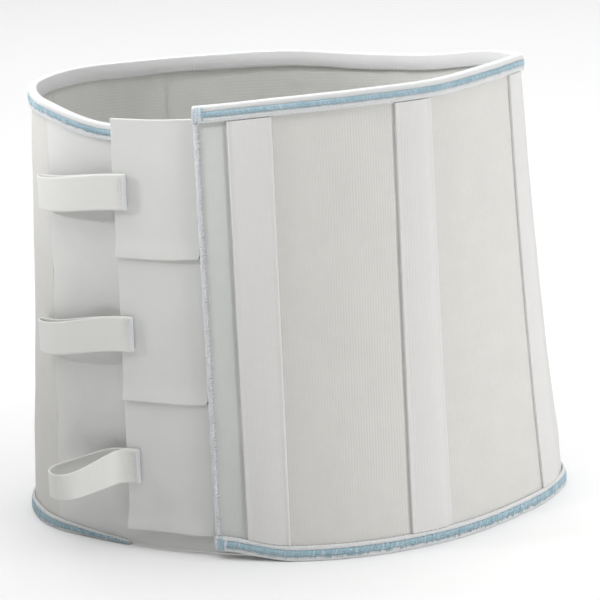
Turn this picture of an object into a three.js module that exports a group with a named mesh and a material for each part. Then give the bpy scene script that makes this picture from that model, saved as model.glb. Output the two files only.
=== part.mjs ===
// An abdominal binder: a wrap-round elastic support that stands on its lower edge as a closed loop.
// Units are millimetres, +Z is up and the closure is on the -Y side. The origin is the middle of the
// foot's bounding box, on the surface that the binder stands on.
import * as THREE from "three";

// Driving dimensions of the loop. The half sizes are to the outer face of the wall.
const HEIGHT = 260;
const HALF_WIDTH_FOOT = 163;
const HALF_DEPTH_FOOT = 97.5;
const HALF_WIDTH_RIM = 143;
const HALF_DEPTH_RIM = 94;
const FLARE_BOW = 0.4; // how hollow the lean is between rim and foot; 0 is a straight lean

// Cloth thicknesses and the clearance between pieces that touch.
const WALL = 2;
const TAB = 1.6;
const TAPE = 1;
const LOOP_TAPE = 1.2;
const GAP = 0.3;

// The edge binding: a tape folded over both edges, with a coloured stripe woven along its outer leg.
const BINDING_OUTER = 9.2;
const BINDING_INNER = 9.5;
const STRIPE_FROM = 3.2; // from the bound edge to the stripe
const STRIPE_WIDTH = 3.4;
const STRIPE_THICKNESS = 0.8;
const STRIPE_BED = 0.7; // thickness of the tape behind the stripe

// Stay casings: a tape over each seam between two panels, with a stay that lifts its middle.
const CASING_WIDTH = 24;
const CASING_CROWN = 2.6; // thickness at the middle, over the stay
const CASING_HEM = 0.9; // thickness at the sewn edges
const FIRST_CASING = 30.5; // centre of the first casing from the front edge
const CORNER_LIFT = 5.5; // how far the front edge's foot is off the ground
const CORNER_LIFT_REACH = 48; // length along the foot until it stands on the ground
const CORNER_LIFT_RISE = 60; // height up the front edge at which the lift has died away
const FRONT_WIDTH = 92.5; // of the panel across the right front, from seam to seam
const SIDE_WIDTH = 97; // of the panel round the right hip
const FLANK_WIDTH = 88; // of the panels to either side of the back
const BACK_WIDTH = 200;

// The closure.
const OVERLAP = 80; // the landing panel's end under the front strip
const LANDING_VISIBLE = 106; // the landing panel that shows beside the front edge
const LANDING_RIM_DROP = 10; // how much lower the landing panel's rim is at the closure
const LANDING_FADE = 60; // the length over which it steps in and down
const TABS = 3;
const TAB_SLIT = 1.6; // between two tabs
const TAB_FOOT = 12.5; // height of the lowest tab's lower edge
const TAB_HEAD = 7.3; // from the highest tab's upper edge to the full height
const TAB_HEIGHT = (HEIGHT - TAB_FOOT - TAB_HEAD - (TABS - 1) * TAB_SLIT) / TABS;
const UPPER_SLIT_RAISE = 3; // how much higher the upper slit is than an even share
const TAB_REACH = 52; // what shows of a tab beside the front edge
const TAB_ROOT = 12; // what is sewn in behind the front edge
const TAB_LIFT = 3.2; // how far a tab's free end stands off the landing panel
const TAB_LIFT_LENGTH = 26;
const BINDING_UNDER_TAB = 3; // the top binding's end behind the upper tab
const FOOT_BINDING_END = 55; // the foot binding's end beside the front edge

// Finger loops: tape folded in two and sewn to the free end of each tab.
const LOOP_WIDTH = 20;
const LOOP_LENGTH = 61; // from the tab's end to the fold of a loop that lies along the wall
const LOOP_SEWN = 8; // length sewn on the tab

// The loop seen from above. Each row is one place on the wall: where its foot and its rim stand, as
// shares of the half width and half depth, and how high the rim is, as a share of HEIGHT.
const PLAN = [
  { place: "front edge", footX: -0.288, footY: -0.911, rimX: -0.329, rimY: -0.957, rimZ: 1.002 },
  { place: "front middle", footX: 0.0, footY: -1.0, rimX: 0.0, rimY: -1.0, rimZ: 1.015 },
  { place: "front right", footX: 0.277, footY: -0.95, rimX: 0.315, rimY: -0.947, rimZ: 1.023 },
  { place: "right groin", footX: 0.555, footY: -0.752, rimX: 0.585, rimY: -0.798, rimZ: 1.027 },
  { place: "right hip front", footX: 0.779, footY: -0.446, rimX: 0.794, rimY: -0.511, rimZ: 1.033 },
  { place: "right hip", footX: 0.935, footY: -0.129, rimX: 0.93, rimY: -0.181, rimZ: 1.031 },
  { place: "right end", footX: 1.0, footY: 0.188, rimX: 0.976, rimY: 0.138, rimZ: 1.018 },
  { place: "right flank", footX: 0.874, footY: 0.614, rimX: 0.866, rimY: 0.5, rimZ: 1.008 },
  { place: "back right", footX: 0.623, footY: 0.871, rimX: 0.636, rimY: 0.787, rimZ: 0.988 },
  { place: "right of spine", footX: 0.334, footY: 0.98, rimX: 0.343, rimY: 0.957, rimZ: 0.988 },
  { place: "spine", footX: 0.031, footY: 1.0, rimX: 0.035, rimY: 1.0, rimZ: 1.0 },
  { place: "left of spine", footX: -0.276, footY: 0.98, rimX: -0.301, rimY: 0.968, rimZ: 1.0 },
  { place: "back left", footX: -0.583, footY: 0.871, rimX: -0.608, rimY: 0.84, rimZ: 1.0 },
  { place: "left flank", footX: -0.853, footY: 0.604, rimX: -0.86, rimY: 0.574, rimZ: 1.004 },
  { place: "left end", footX: -0.985, footY: 0.188, rimX: -1.0, rimY: 0.17, rimZ: 1.0 },
  { place: "left hip", footX: -0.939, footY: -0.168, rimX: -0.965, rimY: -0.223, rimZ: 0.992 },
  { place: "left hip front", footX: -0.791, footY: -0.446, rimX: -0.846, rimY: -0.564, rimZ: 0.992 },
  { place: "left groin", footX: -0.558, footY: -0.733, rimX: -0.608, rimY: -0.819, rimZ: 0.996 },
];

// How each finger loop hangs, as shares of LOOP_LENGTH: how far it reaches along the wall to its fold,
// how far the fold stands off the wall, its widest opening, how far the fold sinks and how far the
// whole is above the middle of its tab.
const LOOPS = [
  { name: "lower", reach: 0.48, stand: 0.456, opening: 0.39, droop: 0.17, rise: 0 },
  { name: "middle", reach: 1, stand: 0.076, opening: 0.105, droop: 0.16, rise: -0.058 },
  { name: "upper", reach: 0.92, stand: 0.067, opening: 0.086, droop: 0.095, rise: -0.041 },
];

// Half of a finger loop from its sewn foot to its fold: shares of its reach and of its opening.
const LOOP_OUTLINE = [
  { reach: 0.04, spread: 0 },
  { reach: 0.13, spread: 0.11 },
  { reach: 0.3, spread: 0.27 },
  { reach: 0.55, spread: 0.43 },
  { reach: 0.78, spread: 0.5 },
  { reach: 0.93, spread: 0.37 },
  { reach: 0.99, spread: 0.14 },
];

// Fineness of the facets.
const FACET = 11.5; // longest facet along the loop
const WALL_ROWS = 5;
const TAB_ROWS = 3;
const LOOP_STEPS = 40;
const ARC_SAMPLES = 1800;

const COLOURS = {
  elastic: { color: 0xd9d8d2, roughness: 0.9 },
  pile: { color: 0xe9e9e6, roughness: 0.95 },
  casing: { color: 0xe6e5e2, roughness: 0.85 },
  tape: { color: 0xf1f2f4, roughness: 0.8 },
  stripe: { color: 0x8fc3d8, roughness: 0.8 },
  loopTape: { color: 0xeceae2, roughness: 0.85 },
};

const smooth = (x) => {
  const t = Math.min(1, Math.max(0, x));
  return t * t * (3 - 2 * t);
};

// The wall's outer face, as two closed curves through the rows of PLAN.
const footCurve = new THREE.CatmullRomCurve3(
  PLAN.map((row) => new THREE.Vector3(row.footX * HALF_WIDTH_FOOT, row.footY * HALF_DEPTH_FOOT, 0)),
  true,
);
const rimCurve = new THREE.CatmullRomCurve3(
  PLAN.map(
    (row) => new THREE.Vector3(row.rimX * HALF_WIDTH_RIM, row.rimY * HALF_DEPTH_RIM, row.rimZ * HEIGHT),
  ),
  true,
);

// The point of the outer face at share t of the way round and at height z.
function facePoint(t, z) {
  const rim = rimCurve.getPoint(t);
  const foot = footCurve.getPoint(t);
  const lean = (1 - z / HEIGHT) * (1 - (FLARE_BOW * z) / HEIGHT);
  return new THREE.Vector2(rim.x + (foot.x - rim.x) * lean, rim.y + (foot.y - rim.y) * lean);
}

// Places along the loop are lengths in mm from the front edge, anticlockwise seen from above, measured
// at half height. Past one whole turn they go on, under the front strip.
const arcs = [0];
for (let i = 1; i <= ARC_SAMPLES; i++) {
  const from = facePoint((i - 1) / ARC_SAMPLES, HEIGHT / 2);
  arcs.push(arcs[i - 1] + facePoint(i / ARC_SAMPLES, HEIGHT / 2).distanceTo(from));
}
const GIRTH = arcs[ARC_SAMPLES];

function shareAt(s) {
  const length = ((s % GIRTH) + GIRTH) % GIRTH;
  let low = 0;
  let high = ARC_SAMPLES;
  while (high - low > 1) {
    const middle = (low + high) >> 1;
    if (arcs[middle] <= length) low = middle;
    else high = middle;
  }
  return (low + (length - arcs[low]) / (arcs[high] - arcs[low])) / ARC_SAMPLES;
}

// The corner of the front edge's foot curls up off the ground.
const cornerLift = (s, z) => {
  if (s > GIRTH) return 0;
  return CORNER_LIFT * (1 - smooth(s / CORNER_LIFT_REACH)) * (1 - smooth(z / CORNER_LIFT_RISE));
};

// A point at place s and height z, standing off the outer face by offset along the level normal.
function place(s, z, offset) {
  const t = shareAt(s);
  const near = 1 / ARC_SAMPLES;
  const along = facePoint((t + near) % 1, z).sub(facePoint((t - near + 1) % 1, z)).normalize();
  const at = facePoint(t, z);
  return new THREE.Vector3(at.x + along.y * offset, at.y - along.x * offset, z + cornerLift(s, z));
}

// The landing panel steps in so that the tabs and the front strip lie over it, and its rim is lower.
const TAB_TIP = GIRTH - TAB_REACH;
const STACK = WALL + GAP + TAPE + GAP + TAB + GAP;
const fade = (s) => smooth((s - (TAB_TIP - LANDING_FADE)) / LANDING_FADE);
const stepIn = (s) => STACK * fade(s);
const rimAt = (s) => rimCurve.getPoint(shareAt(s)).z;
const landingRimAt = (s) => {
  const share = s > GIRTH ? 0 : shareAt(s);
  return rimCurve.getPoint(share).z - LANDING_RIM_DROP * fade(s);
};
const ownRimAt = (s) => (s > TAB_TIP - LANDING_FADE ? landingRimAt(s) : rimAt(s));

// Where the seams are, and the casings over them.
const GROIN_SEAM = FIRST_CASING + FRONT_WIDTH;
const HIP_SEAM = GROIN_SEAM + SIDE_WIDTH;
const BACK_FROM = HIP_SEAM + FLANK_WIDTH;
const BACK_TO = BACK_FROM + BACK_WIDTH;
const LEFT_SEAM = BACK_TO + FLANK_WIDTH;
const LANDING_FROM = GIRTH - LANDING_VISIBLE;
const CASINGS = [
  ["front", FIRST_CASING],
  ["groin", GROIN_SEAM],
  ["hip", HIP_SEAM],
  ["back_right", BACK_FROM],
  ["back_left", BACK_TO],
  ["left", LEFT_SEAM],
];

// Every piece along the wall has its facets between the same stations, so that pieces that lie on one
// another are parallel and keep their gap.
const stations = [0];
function stationsTo(next) {
  const from = stations[stations.length - 1];
  const count = Math.ceil((next - from) / FACET);
  for (let i = 1; i <= count; i++) stations.push(from + ((next - from) * i) / count);
}
for (const [, centre] of CASINGS) for (let k = -2; k <= 2; k++) stationsTo(centre + (k * CASING_WIDTH) / 4);
for (const end of [LANDING_FROM, TAB_TIP, TAB_TIP + TAB_LIFT_LENGTH / 2, TAB_TIP + TAB_LIFT_LENGTH, GIRTH])
  stationsTo(end);
stations.push(...stations.filter((s) => s > 0 && s < OVERLAP).map((s) => s + GIRTH));

// A closed solid from rings of points. The rings are joined in order and the given triangles close
// both ends. A ring runs anticlockwise seen from outside the first end.
function solidFromRings(rings, endFaces) {
  const count = rings[0].length;
  const positions = rings.flat().flatMap((p) => [p.x, p.y, p.z]);
  const index = [];
  for (let i = 0; i + 1 < rings.length; i++)
    for (let j = 0; j < count; j++) {
      const a = i * count + j;
      const b = i * count + ((j + 1) % count);
      index.push(a, a + count, b + count, a, b + count, b);
    }
  const last = (rings.length - 1) * count;
  for (const [p, q, r] of endFaces) {
    index.push(p, q, r);
    index.push(last + p, last + r, last + q);
  }
  const geometry = new THREE.BufferGeometry();
  geometry.setAttribute("position", new THREE.Float32BufferAttribute(positions, 3));
  geometry.setIndex(index);
  geometry.computeVertexNormals();
  return geometry;
}

// The triangles of an end whose corners go up one side and come back down the other.
function ladder(count) {
  const faces = [];
  for (let i = 0; i + 1 < count / 2; i++)
    faces.push([i, i + 1, count - 2 - i], [i, count - 2 - i, count - 1 - i]);
  return faces;
}

// Sweeps a section along the loop. section(s) lists [offset, height] corners anticlockwise.
function sweep(from, to, section, endFaces = ladder(section(from).length)) {
  const between = stations.filter((s) => s > from + GAP && s < to - GAP);
  const rings = [from, ...between, to].map((s) => section(s).map(([offset, z]) => place(s, z, offset)));
  return solidFromRings(rings, endFaces);
}

// The section of a flat layer between two offsets and two heights, with rows of facets up its faces.
function layer(inner, outer, low, high, rows) {
  const heights = Array.from({ length: rows + 1 }, (_, i) => low + ((high - low) * i) / rows);
  return [...heights.map((z) => [outer, z]), ...heights.reverse().map((z) => [inner, z])];
}

const root = new THREE.Group();
const body = new THREE.Group();
root.add(body);

function add(name, geometry, look) {
  const mesh = new THREE.Mesh(geometry, new THREE.MeshStandardMaterial({ ...look, metalness: 0 }));
  mesh.name = name;
  body.add(mesh);
}

// Wall panels, sewn edge to edge under the casings.
const WALL_FOOT = TAPE + GAP;

function addPanel(name, from, to, look) {
  const section = (s) => {
    const outer = -stepIn(s);
    return layer(outer - WALL, outer, WALL_FOOT, ownRimAt(s) - WALL_FOOT, WALL_ROWS);
  };
  add(name, sweep(from, to, section), look);
}

const seams = [
  ["front_strip", 0, FIRST_CASING, COLOURS.elastic],
  ["front_panel", FIRST_CASING, GROIN_SEAM, COLOURS.elastic],
  ["side_panel_right", GROIN_SEAM, HIP_SEAM, COLOURS.elastic],
  ["flank_panel_right", HIP_SEAM, BACK_FROM, COLOURS.elastic],
  ["back_panel", BACK_FROM, BACK_TO, COLOURS.elastic],
  ["flank_panel_left", BACK_TO, LEFT_SEAM, COLOURS.elastic],
  ["side_panel_left", LEFT_SEAM, LANDING_FROM, COLOURS.elastic],
  ["landing_panel", LANDING_FROM, GIRTH + OVERLAP, COLOURS.pile],
];
for (const [name, from, to, look] of seams) addPanel(name, from + GAP / 2, to - GAP / 2, look);

// Stay casings: flat tapes sewn down at both edges over a stay that lifts their middle.
function addCasing(name, centre) {
  const from = centre - CASING_WIDTH / 2;
  const section = (s) => {
    const crown = Math.sin((Math.PI * (s - from)) / CASING_WIDTH);
    const outer = GAP + CASING_HEM + (CASING_CROWN - CASING_HEM) * Math.max(0, crown);
    return layer(GAP, outer, BINDING_OUTER + GAP, rimAt(s) - BINDING_OUTER - GAP, WALL_ROWS);
  };
  add(name, sweep(from, from + CASING_WIDTH, section), COLOURS.casing);
}

for (const [name, centre] of CASINGS) addCasing(`stay_casing_${name}`, centre);

// Edge binding. Its section is a U with the stripe's bed cut into the outer leg. A depth is measured
// from the bound edge into the wall, and side is +1 at the foot and -1 at the rim.
const BINDING_FACE = GAP + STRIPE_BED + STRIPE_THICKNESS;
const BED_FROM = STRIPE_FROM - GAP;
const BED_TO = STRIPE_FROM + STRIPE_WIDTH + GAP;

function bindingSection(edge, side, s) {
  const face = -stepIn(s);
  const back = face - WALL - GAP;
  const bed = face + GAP + STRIPE_BED;
  const corners = [
    [back - TAPE, 0],
    [face + BINDING_FACE, 0],
    [face + BINDING_FACE, BED_FROM],
    [bed, BED_FROM],
    [bed, BED_TO],
    [face + BINDING_FACE, BED_TO],
    [face + BINDING_FACE, BINDING_OUTER],
    [face + GAP, BINDING_OUTER],
    [face + GAP, TAPE],
    [back, TAPE],
    [back, BINDING_INNER],
    [back - TAPE, BINDING_INNER],
  ].map(([offset, depth]) => [offset, edge + side * depth]);
  return side > 0 ? corners : corners.reverse();
}

function stripeSection(edge, side, s) {
  const inner = -stepIn(s) + GAP + STRIPE_BED + GAP;
  const ends = [edge + side * STRIPE_FROM, edge + side * (STRIPE_FROM + STRIPE_WIDTH)];
  return layer(inner, inner + STRIPE_THICKNESS, Math.min(...ends), Math.max(...ends), 1);
}

const edges = [
  { name: "top", to: TAB_TIP + BINDING_UNDER_TAB, side: -1, edge: ownRimAt },
  { name: "bottom", to: GIRTH - FOOT_BINDING_END, side: 1, edge: () => 0 },
];
for (const { name, to, side, edge } of edges) {
  const outline = bindingSection(edge(0), side, 0).map(([offset, z]) => new THREE.Vector2(offset, z));
  const endFaces = THREE.ShapeUtils.triangulateShape(outline, []);
  const binding = sweep(0, to, (s) => bindingSection(edge(s), side, s), endFaces);
  const stripe = sweep(GAP, to - GAP, (s) => stripeSection(edge(s), side, s));
  add(`${name}_binding`, binding, COLOURS.tape);
  add(`${name}_stripe`, stripe, COLOURS.stripe);
}

// Hook tabs: three flat tabs from behind the front edge, stuck down on the landing panel.
const TAB_INNER = -WALL - GAP - TAPE - GAP - TAB;
const tabInnerAt = (s) => {
  const free = Math.max(0, 1 - (s - TAB_TIP) / TAB_LIFT_LENGTH);
  return TAB_INNER + TAB_LIFT * free * free;
};
const tabFoot = (i) => TAB_FOOT + i * (TAB_HEIGHT + TAB_SLIT) + (i === TABS - 1 ? UPPER_SLIT_RAISE : 0);
const tabHead = (i) => (i === TABS - 1 ? HEIGHT - TAB_HEAD : tabFoot(i + 1) - TAB_SLIT);

function addTab(name, i) {
  const section = (s) => layer(tabInnerAt(s), tabInnerAt(s) + TAB, tabFoot(i), tabHead(i), TAB_ROWS);
  add(name, sweep(TAB_TIP, GIRTH + TAB_ROOT, section), COLOURS.pile);
}

// A finger loop is a strip of tape on edge. Its middle line leaves the tab's outer face, and its two
// layers spread to either side of that line.
function addLoop(name, tab, row) {
  const low = (tabFoot(tab) + tabHead(tab) - LOOP_WIDTH) / 2 + row.rise * LOOP_LENGTH;
  const middle = low + LOOP_WIDTH / 2;
  const ply = LOOP_TAPE / 2 + GAP / 2; // from the middle line to a sewn layer's middle
  const faceOffset = (s) => tabInnerAt(s) + TAB + GAP + LOOP_TAPE + GAP / 2;

  // The middle line at a share of the reach; from 0 to -1 it lies on the tab, over the sewn length.
  const middleLine = (share) => {
    const s = TAB_TIP - share * (share > 0 ? row.reach * LOOP_LENGTH : LOOP_SEWN);
    if (share <= 0) return place(s, middle, faceOffset(s));
    const stand = row.stand * LOOP_LENGTH * Math.pow(share, 1.5);
    return place(s, middle, faceOffset(TAB_TIP) + stand);
  };
  const beside = (share, hand, spread) => {
    const at = middleLine(share);
    const ahead = middleLine(share + 0.01).sub(middleLine(share - 0.01)).normalize();
    const aside = hand * Math.max(spread * row.opening * LOOP_LENGTH, ply);
    return new THREE.Vector2(at.x - ahead.y * aside, at.y + ahead.x * aside);
  };
  const openAt = ({ reach, spread }, hand) => beside(reach, hand, spread);
  const sewnAt = (share, hand) => beside(-share, hand, 0);
  const start = middleLine(0);
  const fold = middleLine(1);
  const path = new THREE.SplineCurve([
    sewnAt(1, -1),
    sewnAt(0.5, -1),
    sewnAt(0, -1),
    ...LOOP_OUTLINE.map((point) => openAt(point, -1)),
    new THREE.Vector2(fold.x, fold.y),
    ...LOOP_OUTLINE.map((point) => openAt(point, 1)).reverse(),
    sewnAt(0, 1),
    sewnAt(0.5, 1),
    sewnAt(1, 1),
  ]);
  const points = path.getSpacedPoints(LOOP_STEPS);
  const rings = points.map((p, i) => {
    const before = points[Math.max(0, i - 1)];
    const after = points[Math.min(LOOP_STEPS, i + 1)];
    const along = new THREE.Vector2().subVectors(after, before).normalize();
    const out = new THREE.Vector2(along.y, -along.x).multiplyScalar(LOOP_TAPE / 2);
    const sink = row.droop * LOOP_LENGTH * smooth(p.distanceTo(start) / start.distanceTo(fold));
    const corner = (side, z) => new THREE.Vector3(p.x + side * out.x, p.y + side * out.y, z - sink);
    return [corner(-1, low), corner(1, low), corner(1, low + LOOP_WIDTH), corner(-1, low + LOOP_WIDTH)];
  });
  add(name, solidFromRings(rings, ladder(4)), COLOURS.loopTape);
}

LOOPS.forEach((row, i) => {
  addTab(`hook_tab_${row.name}`, i);
  addLoop(`finger_loop_${row.name}`, i, row);
});

// The whole is moved so that the origin is the middle of its bounding box on the ground.
const bounds = new THREE.Box3().setFromObject(body);
body.position.set(-(bounds.min.x + bounds.max.x) / 2, -(bounds.min.y + bounds.max.y) / 2, -bounds.min.z);

export default root;
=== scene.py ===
"""An abdominal binder that stands closed on its lower edge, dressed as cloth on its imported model.

Everything is in metres in the row's frame. A place on the wall is written as (s, z, offset): s is the
length along the wall at half height, anticlockwise seen from above from the front edge; z is the height;
offset is how far out from the wall's outer face.
"""

import math

import bpy
import numpy as np
from mathutils import Matrix, Vector

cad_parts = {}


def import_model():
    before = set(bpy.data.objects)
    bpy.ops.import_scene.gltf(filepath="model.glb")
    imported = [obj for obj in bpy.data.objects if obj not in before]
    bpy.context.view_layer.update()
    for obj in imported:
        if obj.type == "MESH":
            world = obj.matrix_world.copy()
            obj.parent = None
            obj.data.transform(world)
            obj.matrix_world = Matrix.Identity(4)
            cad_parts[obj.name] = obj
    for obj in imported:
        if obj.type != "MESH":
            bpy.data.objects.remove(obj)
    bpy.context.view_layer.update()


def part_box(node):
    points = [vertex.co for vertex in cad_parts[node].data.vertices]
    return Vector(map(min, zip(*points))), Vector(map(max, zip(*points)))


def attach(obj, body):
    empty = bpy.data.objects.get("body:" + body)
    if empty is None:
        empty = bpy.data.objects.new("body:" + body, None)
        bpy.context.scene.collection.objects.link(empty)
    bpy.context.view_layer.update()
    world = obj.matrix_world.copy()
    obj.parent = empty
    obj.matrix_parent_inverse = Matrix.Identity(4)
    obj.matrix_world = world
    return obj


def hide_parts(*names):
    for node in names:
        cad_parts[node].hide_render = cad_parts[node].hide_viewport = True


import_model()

MM = 0.001

# The band's driving dimensions, as in the part.
HEIGHT = 260 * MM
HALF_WIDTH_FOOT = 163 * MM
HALF_DEPTH_FOOT = 97.5 * MM
HALF_WIDTH_RIM = 143 * MM
HALF_DEPTH_RIM = 94 * MM
FLARE_BOW = 0.4  # how hollow the lean is between rim and foot; 0 is a straight lean
ARC_SAMPLES = 1800

# Thicknesses, and what is left between two pieces.
WALL = 2 * MM
TAB = 1.6 * MM
TAPE = 1 * MM
LOOP_TAPE = 1.2 * MM
GAP = 0.3 * MM

# The bindings' two legs, and the stripe on the outer one.
BINDING_OUTER = 9.2 * MM
BINDING_INNER = 9.5 * MM
STRIPE_FROM = 3.2 * MM
STRIPE_THICKNESS = 0.8 * MM
STRIPE_BED = 0.7 * MM
BINDING_FACE = GAP + STRIPE_BED + STRIPE_THICKNESS

# Casings, and the panels' widths from seam to seam.
CASING_WIDTH = 24 * MM
CASING_HEM = 0.9 * MM
FIRST_CASING = 30.5 * MM
FRONT_WIDTH = 92.5 * MM
SIDE_WIDTH = 97 * MM
FLANK_WIDTH = 88 * MM
BACK_WIDTH = 200 * MM

# The front edge's foot corner: its lift, and how far along and up it goes.
CORNER_LIFT = 5.5 * MM
CORNER_LIFT_REACH = 48 * MM
CORNER_LIFT_RISE = 60 * MM

# The closure: the landing panel, the tabs and the bindings' ends.
OVERLAP = 80 * MM
LANDING_VISIBLE = 106 * MM
LANDING_RIM_DROP = 10 * MM
LANDING_FADE = 60 * MM
TABS = 3
TAB_SLIT = 1.6 * MM
TAB_FOOT = 12.5 * MM
TAB_HEAD = 7.3 * MM
TAB_HEIGHT = (HEIGHT - TAB_FOOT - TAB_HEAD - (TABS - 1) * TAB_SLIT) / TABS
UPPER_SLIT_RAISE = 3 * MM
TAB_REACH = 52 * MM
TAB_ROOT = 12 * MM
TAB_LIFT = 3.2 * MM
TAB_LIFT_LENGTH = 26 * MM
TAB_SLOPE = 2 * TAB_LIFT / TAB_LIFT_LENGTH  # how steeply a tab's free end leaves the wall
BINDING_UNDER_TAB = 3 * MM
FOOT_ROLL = 76 * MM  # the length over which the foot's binding rolls under
FOOT_ROLL_LOSS = 0.72  # the share of its width that is then out of sight
FOOT_BINDING_END = 55 * MM

# The finger loops' tape.
LOOP_WIDTH = 20 * MM
LOOP_LENGTH = 61 * MM
LOOP_SEWN = 8 * MM
LOOP_TIP = 11 * MM  # how far a loop's lower edge would come up if its fold stood off its whole length
LOOP_POINTS = 170

# One row for each place: foot x and y as shares of the foot's half sizes, rim x and y as shares of the
# rim's, and the rim's height as a share of HEIGHT.
PLAN = [
    ("front edge", -0.288, -0.911, -0.329, -0.957, 1.002),
    ("front middle", 0.0, -1.0, 0.0, -1.0, 1.015),
    ("front right", 0.277, -0.95, 0.315, -0.947, 1.023),
    ("right groin", 0.555, -0.752, 0.585, -0.798, 1.027),
    ("right hip front", 0.779, -0.446, 0.794, -0.511, 1.033),
    ("right hip", 0.935, -0.129, 0.93, -0.181, 1.031),
    ("right end", 1.0, 0.188, 0.976, 0.138, 1.018),
    ("right flank", 0.874, 0.614, 0.866, 0.5, 1.008),
    ("back right", 0.623, 0.871, 0.636, 0.787, 0.988),
    ("right of spine", 0.334, 0.98, 0.343, 0.957, 0.988),
    ("spine", 0.031, 1.0, 0.035, 1.0, 1.0),
    ("left of spine", -0.276, 0.98, -0.301, 0.968, 1.0),
    ("back left", -0.583, 0.871, -0.608, 0.84, 1.0),
    ("left flank", -0.853, 0.604, -0.86, 0.574, 1.004),
    ("left end", -0.985, 0.188, -1.0, 0.17, 1.0),
    ("left hip", -0.939, -0.168, -0.965, -0.223, 0.992),
    ("left hip front", -0.791, -0.446, -0.846, -0.564, 0.992),
    ("left groin", -0.558, -0.733, -0.608, -0.819, 0.996),
]

# Each finger loop, as shares of LOOP_LENGTH: reach, stand, opening, droop and rise.
LOOPS = [
    ("lower", 0.48, 0.456, 0.39, 0.17, 0.0),
    ("middle", 1.0, 0.076, 0.105, 0.16, -0.058),
    ("upper", 0.92, 0.067, 0.086, 0.095, -0.041),
]
# One layer of a loop from the tab's end to the fold: the share of the way, and the distance from the
# middle line as a share of the opening.
LOOP_OUTLINE = [
    (0.04, 0),
    (0.13, 0.11),
    (0.3, 0.27),
    (0.55, 0.43),
    (0.78, 0.5),
    (0.93, 0.37),
    (0.99, 0.14),
]

# Textile detail.
RIB_PITCH = 1.55 * MM
RIB_DEPTH = 0.1 * MM
LEVEL_RIB_PITCH = 2.0 * MM
SAMPLES_A_RIB = 4
ROW_STEP = 11 * MM  # between a panel's points along its ribs
PANEL_SWELL = 1.0 * MM  # how far the front panel stands out between its seams
PANEL_RIPPLE = 0.6 * MM
CREASE_WIDTH = 1.2 * MM
CREASE_BEFORE_CASING = 0.8 * MM  # from a crease in the cloth to the casing beside it
SEAM = 0.05 * MM  # what is left between two sewn panels
SLIT_CLOSED = 2.2 * MM  # how far a tab's lower edge hangs over the slit and the tab below it
CASING_STITCH = 1.9 * MM  # from a casing's edge to its stitches
CASING_FLAT = CASING_HEM + 0.3 * MM  # the thickness of a casing between its welts and crown
CASING_LET_IN = 0.6  # the share of it that is let into the next panel
STRIPE_SEEN = {1: 3.4 * MM, -1: 2.7 * MM}  # the stripe's width on the foot's binding and on the rim's
TAB_HANG = 1.75 * MM  # how far a tab's lower edge hangs out
HANG_HEIGHT = 15 * MM  # from there up to where it lies flat
TAB_CORNER = 0.8 * MM  # the rounding of a tab's free corners
BINDING_STEP = 0.65 * MM  # between a binding's points along it
OUTER_STITCH = 7.3 * MM  # from the bound edge to the outer leg's stitches
INNER_STITCH = 1.6 * MM  # from the inner leg's edge to its stitches
THREAD = 0.2 * MM  # radius of the sewing thread
STITCH = 2.9 * MM
RIPPLE_WAVES = 5  # sines that an unevenness is the mean of
EDGE_LEFT = 0.22  # the share of a cloth's thickness at its very edge


def smooth(x):
    x = np.clip(x, 0, 1)
    return x * x * (3 - 2 * x)


def closed_curve(points):
    """The closed centripetal Catmull-Rom curve through points, as a function of the share of the way."""
    points = np.array(points, float)
    count = len(points)

    def at(share):
        p = np.mod(np.asarray(share, float), 1) * count
        i = np.floor(p).astype(int)
        w = (p - i)[..., None]
        p0, p1, p2, p3 = (points[(i + k) % count] for k in (-1, 0, 1, 2))
        d0, d1, d2 = (
            np.sqrt(np.linalg.norm(b - a, axis=-1))[..., None] for a, b in ((p0, p1), (p1, p2), (p2, p3))
        )
        t1 = ((p1 - p0) / d0 - (p2 - p0) / (d0 + d1) + (p2 - p1) / d1) * d1
        t2 = ((p2 - p1) / d1 - (p3 - p1) / (d1 + d2) + (p3 - p2) / d2) * d1
        return p1 + t1 * w + (3 * p2 - 3 * p1 - 2 * t1 - t2) * w**2 + (2 * p1 - 2 * p2 + t1 + t2) * w**3

    return at


foot_curve = closed_curve([(fx * HALF_WIDTH_FOOT, fy * HALF_DEPTH_FOOT, 0) for _, fx, fy, *_ in PLAN])
rim_curve = closed_curve(
    [(rx * HALF_WIDTH_RIM, ry * HALF_DEPTH_RIM, rz * HEIGHT) for *_, rx, ry, rz in PLAN]
)


def face_point(t, z):
    """Plan points of the wall's outer face at shares t of the way round and heights z."""
    lean = (1 - z / HEIGHT) * (1 - FLARE_BOW * z / HEIGHT)
    rim, foot = rim_curve(t)[..., :2], foot_curve(t)[..., :2]
    return rim + (foot - rim) * np.asarray(lean)[..., None]


half_way = face_point(np.arange(ARC_SAMPLES + 1) / ARC_SAMPLES, np.full(ARC_SAMPLES + 1, HEIGHT / 2))
arcs = np.concatenate([[0], np.cumsum(np.linalg.norm(np.diff(half_way, axis=0), axis=1))])
GIRTH = float(arcs[-1])


def share_at(s):
    return np.interp(np.mod(s, GIRTH), arcs, np.arange(ARC_SAMPLES + 1) / ARC_SAMPLES)


def corner_lift(s, z):
    """The corner of the front edge's foot curls up off the ground."""
    lift = CORNER_LIFT * (1 - smooth(s / CORNER_LIFT_REACH)) * (1 - smooth(z / CORNER_LIFT_RISE))
    return np.where(s > GIRTH, 0, lift)


def unshifted(s, z, offset):
    """Points as place gives them, round the wall's own middle."""
    s, z, offset = np.broadcast_arrays(np.asarray(s, float), z, offset)
    t = share_at(s)
    near = 1 / ARC_SAMPLES
    along = face_point(t + near, z) - face_point(t - near, z)
    along /= np.linalg.norm(along, axis=-1, keepdims=True)
    at = face_point(t, z)
    x = at[..., 0] + along[..., 1] * offset
    y = at[..., 1] - along[..., 0] * offset
    return np.stack([x, y, z + corner_lift(s, z)], -1)


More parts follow.
